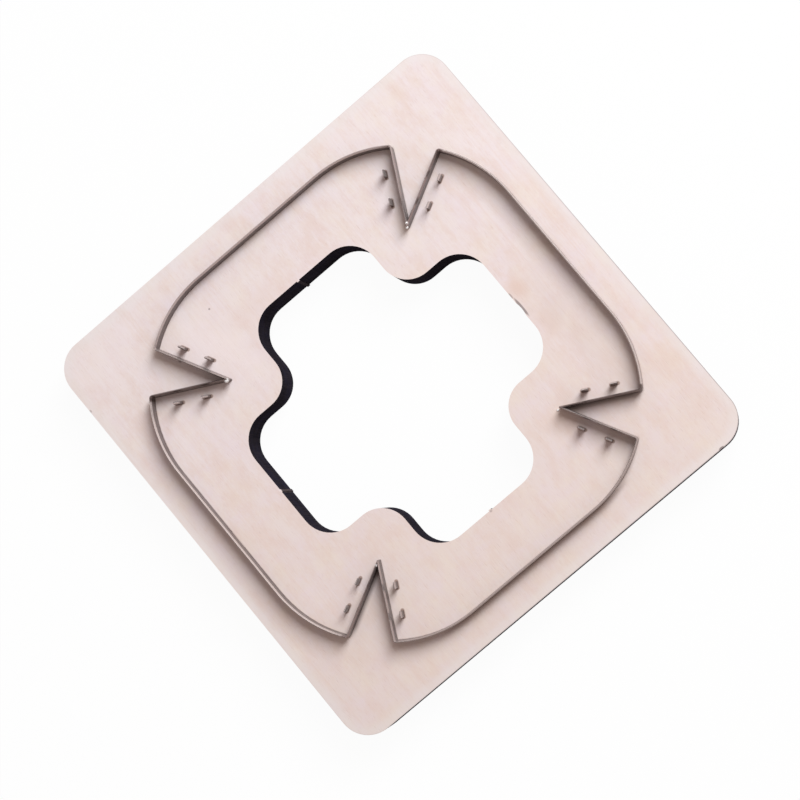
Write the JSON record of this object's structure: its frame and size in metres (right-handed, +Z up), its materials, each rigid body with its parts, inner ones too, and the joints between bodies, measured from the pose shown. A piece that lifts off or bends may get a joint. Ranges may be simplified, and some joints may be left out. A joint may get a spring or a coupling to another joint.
{
  "type": "steel rule die",
  "caption": "Square plywood cutting die with a steel rule bent to a rounded square with V-notched corners, short stitch blades beside each notch and a cross-shaped window.",
  "frame": {"origin": "middle of the board's back face, the face that rests on the press plate", "axes": "+Z up, the way the cutting edges point; X and Y along the sides of the square board"},
  "size_m": [0.15, 0.15, 0.0238],
  "materials": {
    "plywood": "sanded, pale, unvarnished face with scorched laser-cut edges",
    "rule_steel": "satin grey-brown hardened strip with a ground bevel"
  },
  "bodies": {
    "root": {"die_board": "plywood", "rule_back": "rule_steel", "rule_left": "rule_steel", "rule_front": "rule_steel", "rule_right": "rule_steel", "stitch_blade_01": "rule_steel", "stitch_blade_02": "rule_steel", "stitch_blade_03": "rule_steel", "stitch_blade_04": "rule_steel", "stitch_blade_05": "rule_steel", "stitch_blade_06": "rule_steel", "stitch_blade_07": "rule_steel", "stitch_blade_08": "rule_steel", "stitch_blade_09": "rule_steel", "stitch_blade_10": "rule_steel", "stitch_blade_11": "rule_steel", "stitch_blade_12": "rule_steel", "stitch_blade_13": "rule_steel", "stitch_blade_14": "rule_steel", "stitch_blade_15": "rule_steel", "stitch_blade_16": "rule_steel"}
  },
  "joints": []
}
